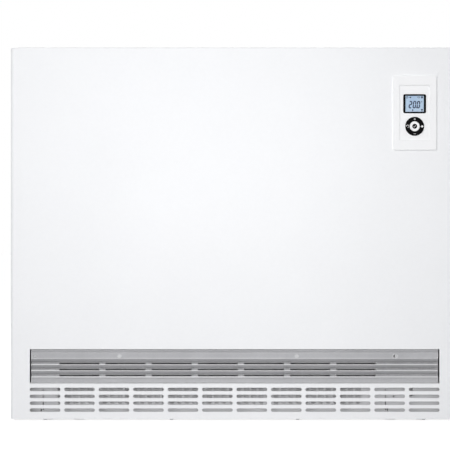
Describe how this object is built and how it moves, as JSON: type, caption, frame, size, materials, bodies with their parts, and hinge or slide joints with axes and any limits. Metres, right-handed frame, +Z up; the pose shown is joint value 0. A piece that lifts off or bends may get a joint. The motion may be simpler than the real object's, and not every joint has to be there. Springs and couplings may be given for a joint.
{
  "type": "storage heater",
  "caption": "Low floor-standing brick-core storage heater with white steel casing, silver louvred warm-air outlet grille, slotted air intake and a display controller.",
  "frame": {"origin": "on the floor, under the middle of the whole object", "axes": "+X to the right as seen from the front, +Y from the front panel towards the wall, +Z up"},
  "size_m": [0.78, 0.2524, 0.65],
  "materials": {
    "white_enamel": "satin",
    "galvanised_steel": "satin",
    "plated_steel": "satin",
    "silver_aluminium": "satin",
    "bare_aluminium": "satin",
    "motor_steel": "satin",
    "bronze": "satin",
    "magnesite_brick": "matte",
    "element_sheath": "matte",
    "white_ceramic": "satin",
    "insulation_board": "matte",
    "filter_net": "matte",
    "black_plastic": "matte",
    "black_gloss_plastic": "gloss",
    "white_plastic": "satin",
    "pale_plastic": "satin",
    "blue_plastic": "satin",
    "red_plastic": "satin",
    "circuit_board": "satin",
    "display_panel": "gloss",
    "black_rubber": "matte"
  },
  "bodies": {
    "casing": {"front_panel": "white_enamel", "top_cover": "white_enamel", "left_side_panel": "white_enamel", "right_side_panel": "white_enamel", "rear_panel": "galvanised_steel", "base_pan": "galvanised_steel", "floor_rails": "galvanised_steel", "wall_bracket": "galvanised_steel", "casing_screws": "plated_steel", "outlet_grille": "silver_aluminium", "room_sensor": "silver_aluminium", "outlet_duct": "galvanised_steel", "intake_plate": "galvanised_steel", "filter_frame": "black_plastic", "filter_mesh": "filter_net", "fan_housing": "galvanised_steel", "fan_bearings": "bronze", "fan_motor": "motor_steel", "motor_bracket": "galvanised_steel", "damper_bushes": "bronze", "damper_bimetal": "bronze", "core_support": "galvanised_steel", "storage_bricks": "magnesite_brick", "heating_elements": "element_sheath", "element_beads": "white_ceramic", "insulation_base": "insulation_board", "insulation_front": "insulation_board", "insulation_rear": "insulation_board", "insulation_left": "insulation_board", "insulation_right": "insulation_board", "insulation_top": "insulation_board", "inner_front_wall": "galvanised_steel", "inner_left_wall": "galvanised_steel", "divider_wall": "galvanised_steel", "electrics_plate": "galvanised_steel", "mains_terminal_block": "pale_plastic", "control_terminal_block": "pale_plastic", "charge_controller_board": "circuit_board", "power_relays": "blue_plastic", "safety_limiter": "black_plastic", "core_sensor": "plated_steel", "cable_clamp": "black_plastic", "cable_grommet": "black_rubber", "controller_frame": "white_plastic", "controller_fascia": "white_plastic", "display_bezel": "black_gloss_plastic", "display_lcd": "display_panel", "controller_board": "circuit_board", "controller_back_box": "pale_plastic"},
    "fan_rotor": {"fan_impeller": "bare_aluminium", "fan_shaft": "plated_steel", "motor_rotor": "bare_aluminium"},
    "damper": {"bypass_damper": "galvanised_steel"},
    "left_lock": {"grille_lock_left": "plated_steel"},
    "right_lock": {"grille_lock_right": "plated_steel"},
    "key_gimbal": {"rocker_gimbal": "black_plastic"},
    "key_ring": {"rocker_ring": "black_gloss_plastic"},
    "confirm_key": {"confirm_button": "white_plastic"},
    "reset_key": {"limiter_reset_button": "red_plastic"}
  },
  "joints": [
    {"name": "fan_spin", "type": "hinge", "parent": "casing", "child": "fan_rotor", "pos_m": [0, 0.02625, 0.0635], "axis": [1, 0, 0], "continuous": true},
    {"name": "damper_swing", "type": "hinge", "parent": "casing", "child": "damper", "pos_m": [0, -0.03475, 0.1225], "axis": [-1, 0, 0], "range_deg": [0, 50], "stiffness_Nm_per_rad": 0.05, "springref_deg": -17.19},
    {"name": "left_lock_turn", "type": "hinge", "parent": "casing", "child": "left_lock", "pos_m": [-0.2006, -0.12175, 0.11235], "axis": [0, 1, 0], "range_deg": [0, 90]},
    {"name": "right_lock_turn", "type": "hinge", "parent": "casing", "child": "right_lock", "pos_m": [0.1081, -0.12175, 0.11235], "axis": [0, 1, 0], "range_deg": [0, 90]},
    {"name": "key_ring_sideways", "type": "hinge", "parent": "casing", "child": "key_gimbal", "pos_m": [0.3134, -0.12015, 0.5126], "axis": [0, 0, 1], "range_deg": [-2.5, 2.5], "stiffness_Nm_per_rad": 0.3},
    {"name": "key_ring_up_down", "type": "hinge", "parent": "key_gimbal", "child": "key_ring", "pos_m": [0.3134, -0.12015, 0.5126], "axis": [1, 0, 0], "range_deg": [-2.5, 2.5], "stiffness_Nm_per_rad": 0.3},
    {"name": "confirm_press", "type": "slide", "parent": "casing", "child": "confirm_key", "axis": [0, 1, 0], "range_m": [0, 0.0008], "stiffness_N_per_m": 1500},
    {"name": "reset_press", "type": "slide", "parent": "casing", "child": "reset_key", "axis": [-1, 0, 0], "range_m": [0, 0.0015], "stiffness_N_per_m": 800}
  ]
}
